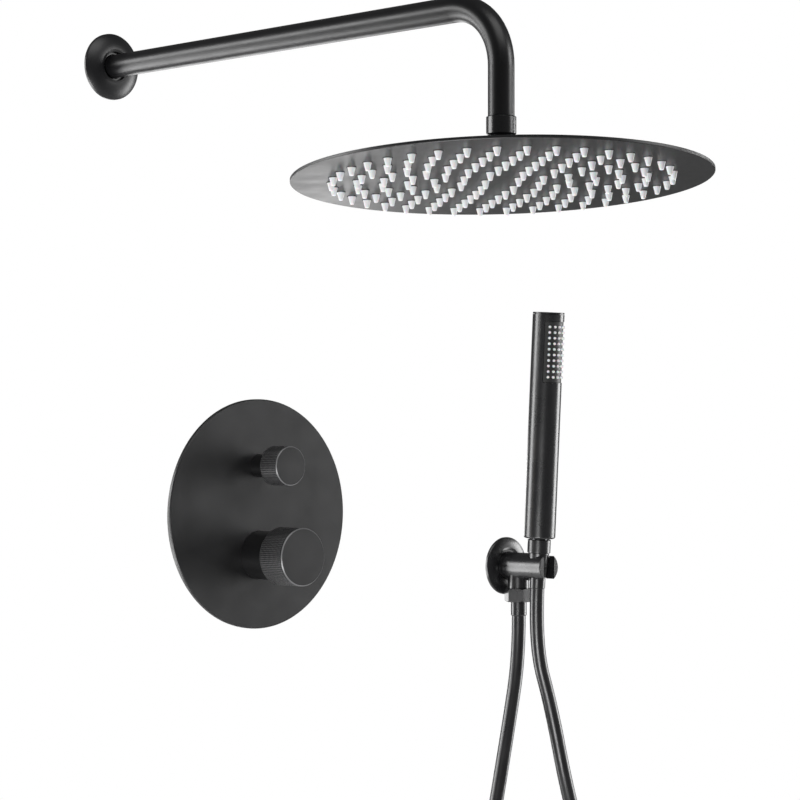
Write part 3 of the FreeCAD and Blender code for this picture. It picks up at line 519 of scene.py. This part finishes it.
# hand shower: small soft nozzles in the panel
handPanel = {
    "rows": 10, "columns": 5, "pitch": 5.25, "radius": 15.0, "root": 13.0, "tipSteps": 16,
    "tip": [(1.45, 0.0), (1.3, 1.34), (1.22, 1.6), (1.08, 2.5), (0.92, 2.74),
            (0.75, 2.8), (0.45, 2.8), (0.38, 2.7), (0.35, 2.1), (0.0, 2.05)],
}
handPlace = alongAxis(joints["handset_turn"]["pos_m"], joints["handset_turn"]["axis"])


def makeHandNozzles(panel):
    verts = []
    faces = []
    low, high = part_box("handset_nozzles")
    middle = (Vector(low) + Vector(high)) / 2
    middleHeight = (handPlace.inverted() @ middle).z / mm
    for row in range(panel["rows"]):
        height = middleHeight + (row - (panel["rows"] - 1) / 2) * panel["pitch"]
        for column in range(panel["columns"]):
            along = (column - (panel["columns"] - 1) / 2) * panel["pitch"]
            turn = -math.pi / 2 + along / panel["radius"]
            way = Vector((math.cos(turn), math.sin(turn), 0))
            spot = Matrix.Translation(way * panel["root"] + Vector((0, 0, height)))
            lean = Vector((0, 0, 1)).rotation_difference(way).to_matrix().to_4x4()
            place = handPlace @ Matrix.Scale(mm, 4) @ spot @ lean
            addTurned(verts, faces, panel["tip"], place, panel["tipSteps"])
    piece = pieceFrom("handNozzles", verts, faces, sharpAngle=50)
    wear(piece, greySilicone)
    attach(piece, "hand_shower")
    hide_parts("handset_nozzles")


makeHandNozzles(handPanel)
print("hand shower nozzles made")


# cut threads on the two wall nipples and in the valve's ports
def threadRadius(thread, height, turn):
    share = triangleWave(height / thread["pitch"] + turn / (2 * math.pi))
    return thread["radius"] - thread["depth"] * share


def makeNipple(name, nipple):
    low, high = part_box(nipple["node"])
    centre = (Vector(low) + Vector(high)) / 2
    place = outOfWall(centre.x, centre.z)
    start = -high[1]
    stop = -low[1]
    steps = nipple["steps"]
    rows = round(nipple["threadLength"] / nipple["pitch"] * nipple["rowsPerPitch"])
    verts = []
    faces = []
    tail = [(nipple["shoulder"], 0.0), (nipple["shoulder"], nipple["shoulderOut"]),
            (nipple["spigot"], nipple["shoulderOut"]), (nipple["spigot"], stop - mm),
            (nipple["spigot"] - mm, stop), (nipple["bore"], stop)]
    for step in range(steps):
        turn = 2 * math.pi * step / steps
        profile = [(nipple["bore"], stop - 2 * mm), (nipple["bore"], start),
                   (nipple["radius"] - nipple["depth"], start)]
        for row in range(rows + 1):
            height = start + nipple["threadLength"] * row / rows
            # the first half turn rises out of the root, so the end has a lead-in
            fade = min(1, (height - start) / nipple["pitch"] * 2)
            highest = nipple["radius"] - nipple["depth"] * (1 - fade)
            profile.append((min(threadRadius(nipple, height, turn), highest), height))
        profile += tail
        for r, height in profile:
            verts.append(place @ Vector((r * math.cos(turn), r * math.sin(turn), height)))
    stitchRings(faces, 0, steps, len(profile))
    piece = pieceFrom(name, verts, faces, sharpAngle=35)
    wear(piece, brass, satinBlack)
    for face in piece.data.polygons:  # the part in front of the wall is coated
        face.material_index = int(face.center.y < nipple["coatedPast"])
    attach(piece, "root")
    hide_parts(nipple["node"])


halfInchThread = {
    "radius": 10.478 * mm, "depth": 1.1 * mm, "pitch": 1.814 * mm, "rowsPerPitch": 6}
nippleShape = {
    **halfInchThread, "threadLength": 15 * mm, "bore": 6 * mm, "shoulder": 9.5 * mm,
    "coatedPast": -0.0004, "steps": 60}
armNipple = {
    **nippleShape, "node": "arm_wall_nipple", "shoulderOut": 6 * mm, "spigot": 8.2 * mm}
outletNipple = {
    **nippleShape, "node": "outlet_wall_nipple", "shoulderOut": 2 * mm, "spigot": 9.5 * mm}
makeNipple("armNippleThread", armNipple)
makeNipple("outletNippleThread", outletNipple)


def makePortThreads(thread, steps=48):
    verts = []
    faces = []
    ports = [mount for mount in frame["record"]["mounts"] if mount["kind"] == "threaded_hole"]
    for port in ports:
        length = port["dims"]["length_mm"] * mm
        place = alongAxis(port["pos_m"], port["axis"])
        rows = round(length / thread["pitch"] * thread["rowsPerPitch"])
        first = len(verts)
        for step in range(steps):
            turn = 2 * math.pi * step / steps
            for row in range(rows + 1):
                height = -length / 2 + length * row / rows
                cut = threadRadius(thread, height, turn)
                verts.append(place @ Vector((cut * math.cos(turn), cut * math.sin(turn), height)))
        stitchRings(faces, first, steps, rows + 1)
    piece = pieceFrom("portThreads", verts, faces, sharpAngle=35)
    wear(piece, brass)
    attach(piece, "root")


makePortThreads(halfInchThread)
print("threads made")

# floor, surroundings and lamps
floorPlan = {"height": -0.75, "radius": 1.1, "steps": 96}
floorVerts = []
floorFaces = []
addTurned(floorVerts, floorFaces, [(0.0, 0.0), (floorPlan["radius"], 0.0)],
          Matrix.Translation((0, 0, floorPlan["height"])), floorPlan["steps"])
floor = pieceFrom("floor", floorVerts, floorFaces)
floorFinish = newFinish("paleFloor", {
    "dark": (0.78, 0.78, 0.78), "light": (0.82, 0.82, 0.82), "gloss": (0.8, 0.9)})
wear(floor, floorFinish)

# the camera sees plain white, and the pieces are lit by a much weaker white
surroundings = {"seen": 1.0, "round": 0.10}
world = bpy.data.worlds.new("studio")
world.use_nodes = True
scene.world = world
worldTree = world.node_tree
seen = worldTree.nodes["Background"]
seen.inputs["Color"].default_value = (1, 1, 1, 1)
seen.inputs["Strength"].default_value = surroundings["seen"]
around = worldTree.nodes.new("ShaderNodeBackground")
around.inputs["Color"].default_value = (1, 1, 1, 1)
around.inputs["Strength"].default_value = surroundings["round"]
rayKind = worldTree.nodes.new("ShaderNodeLightPath")
either = worldTree.nodes.new("ShaderNodeMixShader")
worldTree.links.new(rayKind.outputs["Is Camera Ray"], either.inputs["Fac"])
worldTree.links.new(around.outputs[0], either.inputs[1])
worldTree.links.new(seen.outputs[0], either.inputs[2])
worldTree.links.new(either.outputs[0], worldTree.nodes["World Output"].inputs["Surface"])

lamps = [
    {"name": "leftSoftbox", "place": (-0.55, 1.0, -0.25),
     "aim": (0.3, -0.05, 0.0), "size": (0.55, 1.2), "power": 15},
    {"name": "armSoftbox", "place": (-1.35, 1.0, 0.6),
     "aim": (-0.16, -0.2, 0.37), "size": (1.1, 0.5), "power": 12},
    {"name": "rightSoftbox", "place": (2.1, -0.78, -0.15),
     "aim": (0.3, 0.0, 0.0), "size": (0.9, 1.4), "power": 32},
    {"name": "upperRightSoftbox", "place": (0.8, -1.5, 0.75),
     "aim": (-0.15, -0.45, 0.3), "size": (0.6, 0.5), "power": 8},
    {"name": "behindHeadSoftbox", "place": (0.72, 1.0, -0.22),
     "aim": (-0.2, -0.4, 0.25), "size": (0.55, 0.6), "power": 4},
    {"name": "underHeadSoftbox", "place": (-0.75, -0.65, -0.45),
     "aim": (-0.2, -0.45, 0.26), "size": (0.5, 0.5), "power": 9},
    {"name": "topSoftbox", "place": (-0.4, -1.2, 1.6),
     "aim": (0, -0.1, 0), "size": (1.4, 1.0), "power": 10},
]
for lamp in lamps:
    light = bpy.data.lights.new(lamp["name"], "AREA")
    light.shape = "RECTANGLE"
    light.size, light.size_y = lamp["size"]
    light.energy = lamp["power"]
    holder = bpy.data.objects.new(lamp["name"], light)
    holder.location = lamp["place"]
    beam = Vector(lamp["aim"]) - Vector(lamp["place"])
    holder.rotation_euler = beam.to_track_quat("-Z", "Y").to_euler()
    holder.visible_camera = False
    scene.collection.objects.link(holder)
scene.view_settings.view_transform = "Standard"
print("floor and lamps made")
